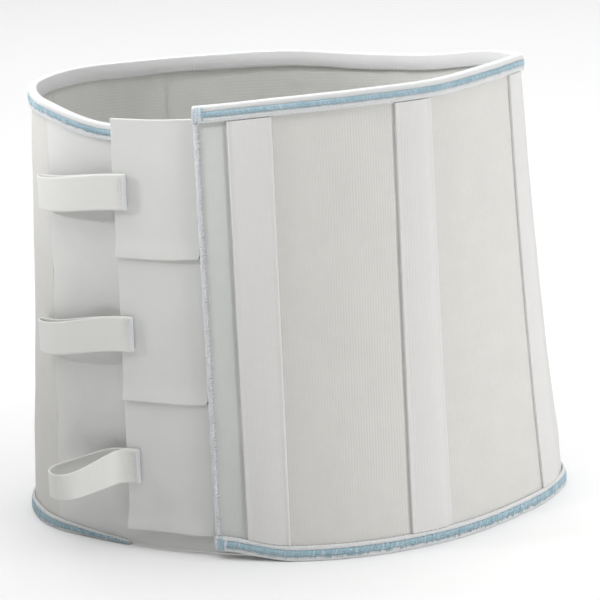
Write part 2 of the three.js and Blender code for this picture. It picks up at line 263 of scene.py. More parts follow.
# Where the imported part's origin is, read from the foot binding's box.
foot_s = np.linspace(0, GIRTH - FOOT_BINDING_END, ARC_SAMPLES)
foot_line = unshifted(foot_s, 0.0, BINDING_FACE)
SHIFT = np.array([*(np.array(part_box("bottom_binding")[0][:2]) - foot_line.min(0)[:2]), 0])


def place(s, z, offset):
    """Points of the row's frame at places s, heights z and offsets from the wall's outer face."""
    return unshifted(s, z, offset) + SHIFT


TAB_TIP = GIRTH - TAB_REACH
STACK = WALL + GAP + TAPE + GAP + TAB + GAP
GROIN_SEAM = FIRST_CASING + FRONT_WIDTH
HIP_SEAM = GROIN_SEAM + SIDE_WIDTH
BACK_FROM = HIP_SEAM + FLANK_WIDTH
BACK_TO = BACK_FROM + BACK_WIDTH
LEFT_SEAM = BACK_TO + FLANK_WIDTH
LANDING_FROM = GIRTH - LANDING_VISIBLE
CASINGS = [
    ("front", FIRST_CASING),
    ("groin", GROIN_SEAM),
    ("hip", HIP_SEAM),
    ("back_right", BACK_FROM),
    ("back_left", BACK_TO),
    ("left", LEFT_SEAM),
]


def fade(s):
    """From 0 to 1 where the landing panel goes in behind the tabs."""
    return smooth((s - (TAB_TIP - LANDING_FADE)) / LANDING_FADE)


def step_in(s):
    return STACK * fade(s)


def rim_at(s):
    """The wall's own height at s: the landing panel's is lower, and goes on under the front strip."""
    s = np.asarray(s, float)
    share = np.where(s > GIRTH, 0.0, share_at(np.minimum(s, GIRTH - 1e-9)))
    return rim_curve(share)[..., 2] - LANDING_RIM_DROP * fade(s)


def tab_inner(s):
    """Offset of a tab's inner face: it lies behind the front edge and lifts towards its free end."""
    free = np.maximum(0, 1 - (s - TAB_TIP) / TAB_LIFT_LENGTH)
    return -WALL - GAP - TAPE - GAP - TAB + TAB_LIFT * free * free


def tab_foot(i):
    return TAB_FOOT + i * (TAB_HEIGHT + TAB_SLIT) + (UPPER_SLIT_RAISE if i == TABS - 1 else 0)


def tab_head(i):
    return HEIGHT - TAB_HEAD if i == TABS - 1 else tab_foot(i + 1) - TAB_SLIT


def ripple(s, z, seed, length=45 * MM):
    """Slow unevenness between -1 and 1 over the cloth."""
    own = np.random.default_rng(seed)
    total = 0
    for _ in range(RIPPLE_WAVES):
        turn = own.uniform(0, 2 * math.pi)
        size = length * own.uniform(0.6, 1.8)
        phase = own.uniform(0, 2 * math.pi)
        total = total + np.sin(2 * math.pi * (s * math.cos(turn) + z * math.sin(turn)) / size + phase)
    return total / RIPPLE_WAVES


def spread(start, stop, step, lip):
    """Positions from start to stop, with extra ones within lip of both ends to round them."""
    inside = np.linspace(start + lip, stop - lip, max(2, int(round((stop - start) / step)) + 1))
    ends = np.array([0, 0.12, 0.4, 0.7]) * lip
    return np.concatenate([start + ends, inside, stop - ends[::-1]])


def roundness(distance, radius):
    """Share of the full thickness at a distance from a rounded edge."""
    near = np.clip(1 - distance / radius, 0, 1)
    return np.maximum(EDGE_LEFT, np.sqrt(1 - near * near))


def ridge(place_at, middle, width):
    """A rounded ridge of height 1."""
    return np.exp(-(((place_at - middle) / width) ** 2))


# Making meshes.


def grid_quads(index):
    return np.stack([index[:-1, :-1], index[:-1, 1:], index[1:, 1:], index[1:, :-1]], -1).reshape(-1, 4)


def build(name, vertices, faces, weave, material, sharp=50):
    """A mesh object. weave holds each vertex's place on its cloth in mm, for the materials."""
    mesh = bpy.data.meshes.new(name)
    mesh.from_pydata(vertices.reshape(-1, 3).tolist(), [], faces)
    attribute = mesh.attributes.new("weave", "FLOAT_VECTOR", "POINT")
    attribute.data.foreach_set("vector", np.asarray(weave, np.float32).ravel())
    mesh.materials.append(material)
    mesh.shade_smooth()
    mesh.set_sharp_from_angle(angle=math.radians(sharp))
    obj = bpy.data.objects.new(name, mesh)
    bpy.context.scene.collection.objects.link(obj)
    return obj


def shell(name, front, back, across, along, material):
    """A closed layer of cloth between two grids of points. across and along are its places in metres."""
    rows, columns = front.shape[:2]
    count = rows * columns
    index = np.arange(count).reshape(rows, columns)
    ring = np.concatenate([index[0, :-1], index[:-1, -1], index[-1, :0:-1], index[:0:-1, 0]])
    after = np.roll(ring, -1)
    border = np.stack([ring + count, after + count, after, ring], -1)
    faces = np.concatenate([grid_quads(index), grid_quads(index[:, ::-1] + count), border])
    across, along = np.broadcast_arrays(across, along)
    flat = np.stack([across, along], -1).reshape(-1, 2) / MM
    weave = np.concatenate([np.c_[flat, np.zeros(count)], np.c_[flat, np.ones(count)]])
    vertices = np.concatenate([front.reshape(-1, 3), back.reshape(-1, 3)])
    return build(name, vertices, faces.tolist(), weave, material)


def tube(name, rings, across, along, material):
    """A closed body swept through rings of points (rings × corners × 3) with flat ends."""
    count, corners = rings.shape[:2]
    index = np.arange(count * corners).reshape(count, corners)
    wrapped = np.concatenate([index, index[:, :1]], axis=1)
    sides = np.stack([wrapped[:-1, :-1], wrapped[1:, :-1], wrapped[1:, 1:], wrapped[:-1, 1:]], -1)
    faces = sides.reshape(-1, 4).tolist() + [index[0].tolist(), index[-1, ::-1].tolist()]
    across, along = np.broadcast_arrays(across, along)
    weave = np.stack([across, along, np.zeros_like(across)], -1).reshape(-1, 3) / MM
    return build(name, rings, faces, weave, material)


def unit(v):
    return v / np.maximum(np.linalg.norm(v, axis=-1, keepdims=True), 1e-12)


def threads(name, slot, starts, ends, lift, material, radius=THREAD, rise=0.5):
    """Stitches: thread from starts to ends that arches off the cloth along lift, thinner at its ends."""
    starts, ends = np.asarray(starts, float), np.asarray(ends, float)
    lift = unit(np.broadcast_to(lift, starts.shape).astype(float))
    count, steps, sides = len(starts), 5, 6
    share = np.linspace(0, 1, steps)
    arch = np.sin(math.pi * share) * radius * 2 * rise
    path = starts[:, None] + (ends - starts)[:, None] * share[None, :, None]
    path = path + lift[:, None] * (arch[None, :, None] - 0.3 * radius)
    along = unit(ends - starts)
    side = unit(np.cross(along, lift))
    up = np.cross(side, along)
    girth = radius * (0.45 + 0.55 * np.sin(math.pi * share) ** 0.5)
    angle = 2 * math.pi * np.arange(sides) / sides
    circle = side[:, None] * np.cos(angle)[None, :, None] + up[:, None] * np.sin(angle)[None, :, None]
    rings = path[:, :, None] + circle[:, None] * girth[None, :, None, None]
    index = np.arange(count * steps * sides).reshape(count, steps, sides)
    wrapped = np.concatenate([index, index[..., :1]], -1)
    quads = np.stack(
        [wrapped[:, :-1, :-1], wrapped[:, :-1, 1:], wrapped[:, 1:, 1:], wrapped[:, 1:, :-1]], -1
    ).reshape(-1, 4)
    caps = np.concatenate([index[:, 0, ::-1], index[:, -1, :]]).tolist()
    weave = np.zeros((count * steps * sides, 3))
    weave[:, 1] = np.broadcast_to(share[None, :, None] * 3, (count, steps, sides)).ravel()
    obj = build(name, rings, quads.tolist() + caps, weave, material, sharp=180)
    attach(obj, "root")


def out_of_wall(s, z):
    return unit(place(s, z, 1 * MM) - place(s, z, 0 * MM))


def dress(obj, node):
    """obj takes the place of the part's node, which is hidden."""
    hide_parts(node)
    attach(obj, "root")


# Materials. All patterns follow the weave attribute, so they lie in the cloth.


class Nodes:
    """Short forms for building one material's nodes."""

    def __init__(self, name, colour, roughness, sheen):
        self.material = bpy.data.materials.new(name)
        self.material.use_nodes = True
        self.tree = self.material.node_tree
        self.shader = self.tree.nodes["Principled BSDF"]
        self.shader.inputs["Roughness"].default_value = roughness
        self.shader.inputs["Specular IOR Level"].default_value = 0.25
        self.shader.inputs["Sheen Weight"].default_value = sheen
        self.shader.inputs["Sheen Roughness"].default_value = 0.5
        self.colour = colour
        self.material.diffuse_color = (*colour, 1)
        place_node = self.node("ShaderNodeAttribute")
        place_node.attribute_type = "GEOMETRY"
        place_node.attribute_name = "weave"
        self.weave = place_node.outputs["Vector"]
        parts = self.node("ShaderNodeSeparateXYZ", Vector=self.weave)
        self.across = parts.outputs["X"]
        self.along = parts.outputs["Y"]

    def plug(self, value, socket):
        if isinstance(value, bpy.types.NodeSocket):
            self.tree.links.new(value, socket)
        else:
            socket.default_value = value

    def node(self, kind, **inputs):
        made = self.tree.nodes.new(kind)
        for name, value in inputs.items():
            self.plug(value, made.inputs[name])
        return made

    def math(self, operation, a, b=0.0):
        made = self.tree.nodes.new("ShaderNodeMath")
        made.operation = operation
        self.plug(a, made.inputs[0])
        self.plug(b, made.inputs[1])
        return made.outputs[0]

    def wave(self, place, pitch, phase=0.0):
        """A sine of the place in mm, from -1 to 1."""
        turned = self.math("MULTIPLY_ADD", place, 2 * math.pi / pitch)
        turned.node.inputs[2].default_value = phase
        return self.math("SINE", turned)

    def noise(self, scale, detail=2.0, rough=0.5):
        made = self.node("ShaderNodeTexNoise", Vector=self.weave, Scale=scale)
        made.inputs["Detail"].default_value = detail
        made.inputs["Roughness"].default_value = rough
        return made.outputs["Fac"]

    def finish(self, height, distance, tint, depth=0.1, dark=None):
        """height raises the surface and tint goes from the dark tone to the full one, both from 0 to 1."""
        bump = self.node("ShaderNodeBump", Height=height, Distance=distance, Strength=0.6)
        self.tree.links.new(bump.outputs["Normal"], self.shader.inputs["Normal"])
        dark = dark or [c * (1 - depth) for c in self.colour]
        mix = self.tree.nodes.new("ShaderNodeMix")
        mix.data_type = "RGBA"
        colours = [socket for socket in mix.inputs if socket.type == "RGBA"]
        self.tree.links.new(tint, mix.inputs[0])
        colours[0].default_value = (*dark, 1)
        colours[1].default_value = (*self.colour, 1)
        self.tree.links.new(mix.outputs[2], self.shader.inputs["Base Color"])
        return self.material

    def level(self, value, low=-1.0, high=1.0):
        made = self.node("ShaderNodeMapRange", Value=value)
        made.inputs["From Min"].default_value = low
        made.inputs["From Max"].default_value = high
        return made.outputs["Result"]


def linear(r, g, b):
    """A display colour of 0 to 255 as the linear one that shaders take."""
    return tuple(((c / 255 + 0.055) / 1.055) ** 2.4 for c in (r, g, b))


def rib_material(name, colour, level_ribs=False):
    """Ribbed elastic: fine knit courses across the ribs, and painted shade that darkens the grooves
    between them.
    """
    n = Nodes(name, colour, 0.9, 0.1)
    across, along = (n.along, n.across) if level_ribs else (n.across, n.along)
    pitch = LEVEL_RIB_PITCH / MM if level_ribs else RIB_PITCH / MM
    courses = n.wave(along, 1.15)
    wales = n.wave(across, pitch)
    crossed = n.math("MULTIPLY", courses, wales)
    knit = n.level(n.math("ADD", crossed, n.math("MULTIPLY", courses, 0.6)), -1.6, 1.6)
    # Painted shade: the tint darkens the grooves between the ribs, where shade falls.
    ribs = n.level(n.wave(across, pitch, -math.pi / 2))
    patchy_groove_shade = n.math("MULTIPLY", ribs, n.noise(0.3, 3))
    tint = n.math("ADD", n.math("MULTIPLY", patchy_groove_shade, 0.6), n.math("MULTIPLY", knit, 0.25))
    tint = n.math("ADD", tint, n.math("MULTIPLY", n.noise(0.07, 4), 0.6))
    return n.finish(knit, 0.16 * MM, tint, 0.13)


def tape_material(name, colour, pitch=0.9, lines=1.7):
    """Woven tape: plain weave with slightly raised lengthwise lines."""
    n = Nodes(name, colour, 0.8, 0.1)
    plain = n.math("MULTIPLY", n.wave(n.across, pitch), n.wave(n.along, pitch))
    length = n.wave(n.across, lines)
    height = n.level(n.math("ADD", plain, n.math("MULTIPLY", length, 0.7)), -1.7, 1.7)
    tint = n.math("ADD", n.math("MULTIPLY", height, 0.6), n.math("MULTIPLY", n.noise(0.15, 3), 0.5))
    return n.finish(height, 0.16 * MM, tint, 0.08)


def twill_material(name, colour):
    """Twill tape: slanting ridges."""
    n = Nodes(name, colour, 0.8, 0.15)
    slant = n.math("ADD", n.across, n.along)
    ridges = n.math("ADD", n.wave(slant, 1.5), n.math("MULTIPLY", n.wave(n.along, 0.8), 0.4))
    height = n.level(ridges, -1.4, 1.4)
    tint = n.math("ADD", n.math("MULTIPLY", height, 0.6), n.math("MULTIPLY", n.noise(0.2, 3), 0.4))
    return n.finish(height, 0.1 * MM, tint, 0.04)


def pile_material(name, colour, grain, distance, depth):
    """Brushed cloth: fine felted grain with faint slow mottling."""
    n = Nodes(name, colour, 0.95, 0.3)
    fine = n.noise(grain, 5, 0.65)
    slow = n.noise(0.05, 3)
    threads_seen = n.level(n.math("MULTIPLY", n.wave(n.across, 1.6), n.wave(n.along, 1.9)))
    height = n.math("ADD", fine, n.math("MULTIPLY", threads_seen, 0.25))
    tint = n.math("ADD", n.math("MULTIPLY", fine, 0.5), n.math("MULTIPLY", slow, 0.6))
    return n.finish(height, distance, tint, depth)


def thread_material(name, colour):
    """Twisted sewing thread."""
    n = Nodes(name, colour, 0.6, 0.1)
    twist = n.level(n.wave(n.math("ADD", n.across, n.along), 0.5))
    return n.finish(twist, 0.05 * MM, twist, 0.15)


def stripe_material(name, colour, dark):
    """Dyed threads: short slanting floats that let the white ground through a little."""
    n = Nodes(name, colour, 0.75, 0.1)
    slant = n.math("ADD", n.math("MULTIPLY", n.across, 0.8), n.along)
    floats = n.math("ADD", n.wave(slant, 1.7), n.math("MULTIPLY", n.wave(n.across, 1.13), 0.6))
    height = n.level(floats, -1.6, 1.6)
    mottle = n.level(n.noise(1.1, 3, 0.6), 0.35, 0.65)
    tint = n.math("ADD", n.math("MULTIPLY", height, 0.35), n.math("MULTIPLY", mottle, 0.65))
    return n.finish(height, 0.25 * MM, tint, dark=dark)


ELASTIC = rib_material("elastic", linear(219, 218, 214))
# A darker, slightly cooler copy of the elastic for the front strip: its darkness is painted shade.
SHADED_STRIP_ELASTIC = rib_material("shaded_strip_elastic", linear(211, 213, 211))
LEVEL_ELASTIC = rib_material("level_elastic", linear(220, 220, 217), level_ribs=True)
PILE = pile_material("landing_pile", linear(222, 223, 221), 1.6, 0.25 * MM, 0.1)
TAB_CLOTH = pile_material("tab_cloth", linear(221, 222, 219), 1.1, 0.16 * MM, 0.09)
CASING_TAPE = tape_material("casing_tape", linear(223, 222, 221))
BINDING_TAPE = tape_material("binding_tape", linear(223, 224, 224), 0.8, 1.3)
STRIPE = stripe_material("blue_stripe", linear(190, 212, 221), linear(150, 185, 200))
LOOP_TWILL = twill_material("loop_twill", linear(225, 225, 222))
WHITE_THREAD = thread_material("white_thread", linear(234, 236, 241))
CASING_THREAD = thread_material("casing_thread", linear(230, 229, 228))
TAPE_THREAD = thread_material("tape_thread", linear(226, 225, 222))
BLUE_THREAD = thread_material("blue_thread", linear(174, 202, 213))
PALE_THREAD = thread_material("pale_thread", linear(197, 216, 226))
EDGE_THREAD = thread_material("edge_thread", linear(227, 228, 231))


# Wall panels.


def free_of_hems(s, z, fading=25 * MM):
    """0 under the bindings and 1 well clear of them."""
    return smooth((z - BINDING_INNER) / fading) * smooth((rim_at(s) - BINDING_INNER - z) / fading)


def wall_panel(node, start, stop, seed, material, crease=0.0):
    """An elastic panel that swells a little between its seams. Its ribs stand upright or lie level.

    crease is how deep the cloth folds in before the casing at its far seam.
    """
    start, stop = start + SEAM / 2, stop - SEAM / 2
    width = stop - start
    level_ribs = material == LEVEL_ELASTIC
    pitch = LEVEL_RIB_PITCH if level_ribs else RIB_PITCH
    ribs = int(round((HEIGHT if level_ribs else width) / pitch))
    fine = ribs * SAMPLES_A_RIB + 1
    s = np.linspace(start, stop, int(round(width / ROW_STEP)) + 2 if level_ribs else fine)
    rise = np.linspace(0, 1, fine if level_ribs else int(round(HEIGHT / ROW_STEP)) + 1)[:, None]
    low, high = TAPE + GAP, rim_at(s) - TAPE - GAP
    z = low + (high - low) * rise
    span = np.sin(math.pi * (s - start) / width) ** 2
    swell = PANEL_SWELL * (width / FRONT_WIDTH) + PANEL_RIPPLE * ripple(s, z, seed)
    from_crease = stop - CASING_WIDTH / 2 - CREASE_BEFORE_CASING - s
    folded_in = crease * ridge(from_crease, 0, CREASE_WIDTH) * free_of_hems(s, z, 8 * MM)
    face = -step_in(s) + free_of_hems(s, z) * span * swell - folded_in
    across_ribs = rise * ribs if level_ribs else (s - start) / width * ribs
    uneven = 0.65 + 0.6 * ripple(s, z, seed + 50, 9 * MM)
    groove = RIB_DEPTH * uneven * (1 - np.abs(np.sin(math.pi * across_ribs)) ** 0.55)
    outer, inner = place(s, z, face - groove), place(s, z, face - WALL + groove)
    obj = shell(f"{node}_cloth", outer, inner, s - start, z, material)
    dress(obj, node)


def landing_panel():
    """The brushed panel that the tabs lie on. Its sewn edge stands a little proud of the elastic."""
    node, start, stop = "landing_panel", LANDING_FROM + SEAM / 2, GIRTH + OVERLAP - GAP / 2
    s = spread(start, stop, 3 * MM, 1.2 * MM)
    low, high = TAPE + GAP, rim_at(s) - TAPE - GAP
    z = low + (high - low) * np.linspace(0, 1, 70)[:, None]
    # The relief dies away before the tabs, which lie flat.
    shown = 1 - smooth((s - (TAB_TIP - 14 * MM)) / (12 * MM))
    proud = 0.12 * MM * roundness(s - start, 1.2 * MM) * shown * free_of_hems(s, z, 4 * MM)
    waves = 0.5 * MM * ripple(s, z, 31, 34 * MM) * shown * free_of_hems(s, z, 20 * MM)
    outer, inner = place(s, z, -step_in(s) + proud + waves), place(s, z, -step_in(s) - WALL)
    obj = shell(f"{node}_cloth", outer, inner, s, z, PILE)
    dress(obj, node)


# Casings, bindings and stripes.


def casing(name, centre):
    """A tape over a seam: a firm welt along both edges, a pressed stitch line, and the stay's crown.

    All but the first are let into the next panel along their far edge.
    """
    node = "stay_casing_" + name
    half = CASING_WIDTH / 2
    across = spread(-half, half, 0.6 * MM, 0.35 * MM)
    from_edge = half - np.abs(across)
    welt = 0.3 * MM * ridge(from_edge, 0.8 * MM, 0.6 * MM)
    pressed = 0.03 * MM * ridge(from_edge, CASING_STITCH, 0.4 * MM)
    crown = 0.35 * MM * smooth((from_edge - CASING_STITCH) / (8 * MM))
    lines = 0.03 * MM * np.cos(2 * math.pi * across / (1.7 * MM))
    flush = 0 if name == "front" else CASING_LET_IN * smooth((across - half + 7 * MM) / (7 * MM))
    rounded = roundness(from_edge, 0.35 * MM)
    thick = (CASING_FLAT + welt - pressed + crown + lines) * rounded * (1 - flush)
    s = centre + across
    low, high = BINDING_OUTER + GAP, rim_at(s) - BINDING_OUTER - GAP
    z = low + (high - low) * np.linspace(0, 1, 60)[:, None]
    wave = 0.16 * MM * ripple(s, z, int(centre / MM), 22 * MM) * smooth(from_edge / (4 * MM))
    outer, inner = place(s, z, GAP * 0.5 + thick + wave), place(s, z, GAP * 0.5)
    obj = shell(f"{node}_tape", outer, inner, across, z, CASING_TAPE)
    dress(obj, node)
    for hand, side in (("left", -1), ("right", 1)):
        row = centre + side * (half - CASING_STITCH)
        sunk = 0 if name == "front" or side < 0 else CASING_LET_IN * CASING_FLAT
        stitch_up(f"stitches_{node}_{hand}", row, GAP + CASING_HEM + 0.12 * MM - sunk)


def stitch_up(name, s, offset):
    """An upright row of straight stitches at s."""
    low = BINDING_OUTER + 1 * MM
    count = int((float(rim_at(s)) - 2 * low) / STITCH)
    z0 = low + np.arange(count) * STITCH
    z1 = z0 + 0.78 * STITCH
    lifts = out_of_wall(np.full(count, s), z0)
    starts, ends = place(s, z0, offset), place(s, z1, offset)
    threads(name, "casing", starts, ends, lifts, CASING_THREAD, 0.13 * MM)


def edge_at(s, side):
    """The height of the bound edge: the floor for the foot, side 1, and the rim for side -1."""
    return np.zeros_like(s) if side > 0 else rim_at(s)


def on_binding(s, side, depth, offset):
    """Points at a depth in from the bound edge."""
    return place(s, edge_at(s, side) + side * depth, offset - step_in(s))


def off_binding(s, side, depth):
    """The way out of the wall there."""
    return out_of_wall(s, edge_at(s, side) + side * depth)


def narrowing(s, side):
    """The foot's binding rolls under and looks narrower towards its end by the tabs."""
    if side < 0:
        return np.ones_like(s)
    left = (GIRTH - FOOT_BINDING_END - s) / FOOT_ROLL
    return 1 - FOOT_ROLL_LOSS * np.clip(1 - left, 0, 1) ** 1.2


def section_grid(corners, s, side):
    """Offsets and depths of a section's corners at each place s, turned round for the rim."""
    offset, depth = (np.stack([np.broadcast_to(c[k], s.shape) for c in corners], -1) for k in (0, 1))
    return (offset, depth) if side > 0 else (offset[:, ::-1], depth[:, ::-1])


def binding_section(s, side):
    """Corners of the folded tape at places s, as (offset, depth) from the bound edge inwards."""
    scallop = 0.22 * MM * np.sin(2 * math.pi * s / (2.6 * MM))
    lump = 0.1 * MM * np.sin(2 * math.pi * s / (1.3 * MM))
    outer = BINDING_FACE - 0.15 * MM
    bed = GAP + STRIPE_BED
    back = -WALL - GAP
    stripe_from = STRIPE_FROM - 0.15 * MM
    stripe_to = STRIPE_FROM + STRIPE_SEEN[side] + 0.15 * MM
    narrow = narrowing(s, side)
    sway = 0.45 * MM * ripple(s, 0, 17 + side, 40 * MM)
    stand = 0.3 * MM * (1 + ripple(s, 0, 27 + side, 25 * MM))
    corners = [
        # Round the bound edge.
        (back - 0.75 * TAPE, 0.25 * MM),
        (back - 0.2 * TAPE, 0.04 * MM),
        (back + 0.5 * TAPE, 0),
        (-0.2 * MM, 0),
        (outer - 0.7 * MM, 0.04 * MM),
        (outer - 0.2 * MM, 0.3 * MM),
        # The outer leg's face, which dips where the stripe lies.
        (outer + lump, narrow * 0.9 * MM),
        (outer + lump, narrow * (stripe_from - 0.35 * MM)),
        (outer - 0.2 * MM, narrow * (stripe_from - 0.08 * MM)),
        (bed, narrow * stripe_from),
        (bed, narrow * stripe_to),
        (outer - 0.2 * MM, narrow * (stripe_to + 0.08 * MM)),
        (outer + lump, narrow * (stripe_to + 0.35 * MM)),
        # Round the outer leg's edge and back behind it.
        (outer + lump, narrow * (BINDING_OUTER - 0.45 * MM) + scallop),
        (outer - 0.35 * MM, narrow * (BINDING_OUTER - 0.1 * MM) + scallop),
        (GAP + 0.25 * MM, narrow * BINDING_OUTER + scallop),
        (GAP, narrow * (BINDING_OUTER - 0.3 * MM)),
        (GAP, TAPE),
        # The inner leg, whose edge stands off the wall.
        (back, TAPE),
        (back - stand, BINDING_INNER - 0.3 * MM + sway),
        (back - 0.3 * TAPE - stand, BINDING_INNER + scallop + sway),
        (back - 0.75 * TAPE - stand, BINDING_INNER - 0.1 * MM + scallop + sway),
        (back - TAPE - stand, BINDING_INNER - 0.5 * MM + sway),
        (back - TAPE - 0.3 * stand, BINDING_INNER * 0.5),
        (back - TAPE, 0.8 * MM),
    ]
    return section_grid(corners, s, side)


def binding(name, stop, side):
    """The folded edge tape with the dyed stripe along it, and the stitches that hold both legs."""
    s = np.linspace(0, stop, int(stop / BINDING_STEP))
    offset, depth = binding_section(s, side)
    around = np.concatenate([[0], np.cumsum(np.hypot(np.diff(offset[0]), np.diff(depth[0])))])
    rings = on_binding(s[:, None], side, depth, offset)
    tape = tube(f"{name}_binding_tape", rings, around, s[:, None], BINDING_TAPE)
    dress(tape, f"{name}_binding")
    stripe(name, stop, side)
    stitch_along(f"stitches_{name}_binding", stop, side, OUTER_STITCH, BINDING_FACE - 0.1 * MM, 1)
    inside = -WALL - GAP - TAPE
    stitch_along(f"stitches_{name}_hem", stop, side, BINDING_INNER - INNER_STITCH, inside, -1)


def stripe(name, stop, side):
    """The dyed stripe: a flat band with a slightly uneven edge."""
    s = np.linspace(GAP, stop - GAP, int(stop / BINDING_STEP))
    half = STRIPE_SEEN[side] / 2
    middle = STRIPE_FROM + half
    uneven = 0.14 * MM * np.sin(2 * math.pi * s / (2.6 * MM)) + 0.08 * MM * ripple(s, 0, 5, 4 * MM)
    lump = 0.12 * MM * np.abs(np.sin(math.pi * s / (1.7 * MM)))
    narrow = narrowing(s, side)
    low, high = GAP + STRIPE_BED + 0.06 * MM, BINDING_FACE
    corners = [
        (low, narrow * (middle - half + uneven)),
        (high - 0.3 * MM, narrow * (middle - half + uneven)),
        (high + lump, narrow * (middle - half + 0.35 * MM + uneven)),
        (high + 0.05 * MM + lump, narrow * middle),
        (high + lump, narrow * (middle + half - 0.35 * MM + uneven)),
        (high - 0.3 * MM, narrow * (middle + half + uneven)),
        (low, narrow * (middle + half + uneven)),
    ]
    offset, depth = section_grid(corners, s, side)
    rings = on_binding(s[:, None], side, depth, offset)
    obj = tube(f"{name}_stripe_band", rings, depth, s[:, None], STRIPE)
    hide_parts(f"{name}_stripe")
    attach(obj, "root")


def stitch_along(name, stop, side, depth, offset, outward):
    """A zigzag of stitches along a binding's leg: the outer one, outward 1, or the inner one, -1."""
    pitch = 2.4 * MM
    count = int((stop - 2 * MM) / pitch)
    s0 = 1 * MM + np.arange(count) * pitch
    s1 = s0 + 0.85 * pitch
    swing = 0.4 * MM * np.where(np.arange(count) % 2, 1, -1)
    if outward > 0:
        depth = depth * narrowing(s0, side)
    starts = on_binding(s0, side, depth - swing, offset)
    ends = on_binding(s1, side, depth + swing, offset)
    lifts = outward * off_binding(s0, side, depth)
    threads(name, "binding_tape", starts, ends, lifts, WHITE_THREAD)


def mixed_threads(name, starts, ends, lifts, radius, tones):
    """Threads of several tones. A tone's row: its name, which threads it has, material and slot."""
    for tone, chosen, material, slot in tones:
        threads(f"{name}_{tone}", slot, starts[chosen], ends[chosen], lifts[chosen], material, radius)


def stripe_floats(name, stop, side):
    """The stripe's slanting threads, which stray a little past both of its edges."""
    pitch = 0.75 * MM
    own = np.random.default_rng(23 + side)
    count = int((stop - 4 * MM) / pitch)
    s0 = 1.5 * MM + np.arange(count) * pitch + own.uniform(-0.15, 0.15, count) * MM
    s1 = s0 + own.uniform(0.3, 1.9, count) * MM
    narrow = narrowing(s0, side)
    stray = 2.0 if side > 0 else 0.35
    from_depth = narrow * (STRIPE_FROM - own.uniform(-0.3, stray, count) * MM)
    to_depth = narrow * (STRIPE_FROM + STRIPE_SEEN[side] + own.uniform(-0.4, 0.8, count) * MM)
    offset = BINDING_FACE + 0.1 * MM
    starts = on_binding(s0, side, from_depth, offset)
    ends = on_binding(s1, side, to_depth, offset)
    lifts = off_binding(s0, side, from_depth)
    draw = own.random(count)
    tones = [
        ("blue", draw < 0.6, BLUE_THREAD, "blue_stripe"),
        ("pale", (draw >= 0.6) & (draw < 0.97), PALE_THREAD, "blue_stripe"),
        ("white", draw >= 0.97, WHITE_THREAD, "blue_stripe"),
    ]
    mixed_threads(f"stitches_{name}_stripe", starts, ends, lifts, 0.24 * MM, tones)


def corner_wrap(name, side):
    """Loose turns of thread round a binding's cut end at the front edge."""
    own = np.random.default_rng(41 + side)
    count = 16
    s0 = np.linspace(0.2, 5.6, count) * MM + own.uniform(-0.2, 0.2, count) * MM
    s1 = s0 + own.uniform(-1.3, 1.3, count) * MM
    s1 = np.maximum(s1, -0.6 * MM)
    near = own.uniform(0.1, 1.2, count) * MM
    far = BINDING_OUTER + own.uniform(-1.2, 0.9, count) * MM
    offset = BINDING_FACE + 0.2 * MM
    starts = on_binding(s0, side, near, offset)
    ends = on_binding(s1, side, far, offset - 0.5 * MM)
    lifts = off_binding(s0, side, near)
    blue = own.random(count) < 0.45
    tones = [("blue", blue, BLUE_THREAD, "blue_stripe"), ("white", ~blue, WHITE_THREAD, "binding_tape")]
    mixed_threads(f"stitches_{name}_corner", starts, ends, lifts, 0.3 * MM, tones)


# The closure.


def tab_edges(i, s):
    """A tab's lower and upper edges at s. Where it shows, its lower edge hangs over the slit below."""
    shown = smooth((GIRTH - 1 * MM - s) / (1.2 * MM))
    low = tab_foot(i) - (SLIT_CLOSED * shown if i else 0)
    high = tab_head(i) + (1.1 * MM * (1 - shown) if i < TABS - 1 else 0)
    return low, high


def tab_lift(i, s, z, low):
    """How far a tab stands off its flat place: its lower edge hangs out, and it is a little uneven."""
    free = smooth((GIRTH + 3 * MM - s) / (22 * MM))
    root = smooth((GIRTH + 1 * MM - s) / (3 * MM))
    hang = root * (TAB_HANG + 0.4 * MM * free) * smooth((low + HANG_HEIGHT - z) / HANG_HEIGHT) ** 1.5
    return np.maximum(hang + free * 0.5 * MM * ripple(s, z, 40 + i, 38 * MM), -0.25 * MM)


def hook_tab(name, i):
    """A flat brushed tab with a slightly wavy outline and rounded corners."""
    node = "hook_tab_" + name
    s = spread(TAB_TIP, GIRTH + TAB_ROOT, 0.8 * MM, 0.7 * MM)
    height = tab_head(i) - tab_foot(i)
    rise = spread(0, height, 2.5 * MM, 0.7 * MM) / height
    low, high = tab_edges(i, s)
    near = np.clip(TAB_CORNER - (s - TAB_TIP), 0, TAB_CORNER)
    cut = TAB_CORNER - np.sqrt(TAB_CORNER**2 - near**2)
    wander = 0.3 * MM * np.sin((s - TAB_TIP) / (9 * MM) + i)
    z = low + cut + wander + (high - low - 2 * cut) * rise[:, None]
    edge = np.minimum(s - TAB_TIP, np.minimum(z - z[0], z[-1] - z))
    middle = tab_inner(s) + TAB / 2 + tab_lift(i, s, z, low)
    thick = TAB / 2 * roundness(edge, 0.5 * MM)
    outer, inner = place(s, z, middle + thick), place(s, z, middle - thick)
    obj = shell(f"{node}_cloth", outer, inner, s, z, TAB_CLOTH)
    dress(obj, node)


def open_curve(points, count):
    """count evenly spaced points of the Catmull-Rom curve through points."""
    points = np.array(points)
    padded = np.concatenate([points[:1], points, points[-1:]])
    fine = []
    w = np.linspace(0, 1, 30, endpoint=False)[:, None]
    for i in range(len(points) - 1):
        p0, p1, p2, p3 = padded[i : i + 4]
        v0, v1 = (p2 - p0) / 2, (p3 - p1) / 2
        bend = (2 * p1 - 2 * p2 + v0 + v1) * w**3 + (-3 * p1 + 3 * p2 - 2 * v0 - v1) * w**2
        fine.append(bend + v0 * w + p1)
    fine = np.concatenate(fine + [points[-1:]])
    length = np.concatenate([[0], np.cumsum(np.linalg.norm(np.diff(fine, axis=0), axis=1))])
    even = np.linspace(0, length[-1], count)
    return np.stack([np.interp(even, length, fine[:, k]) for k in (0, 1)], -1), even


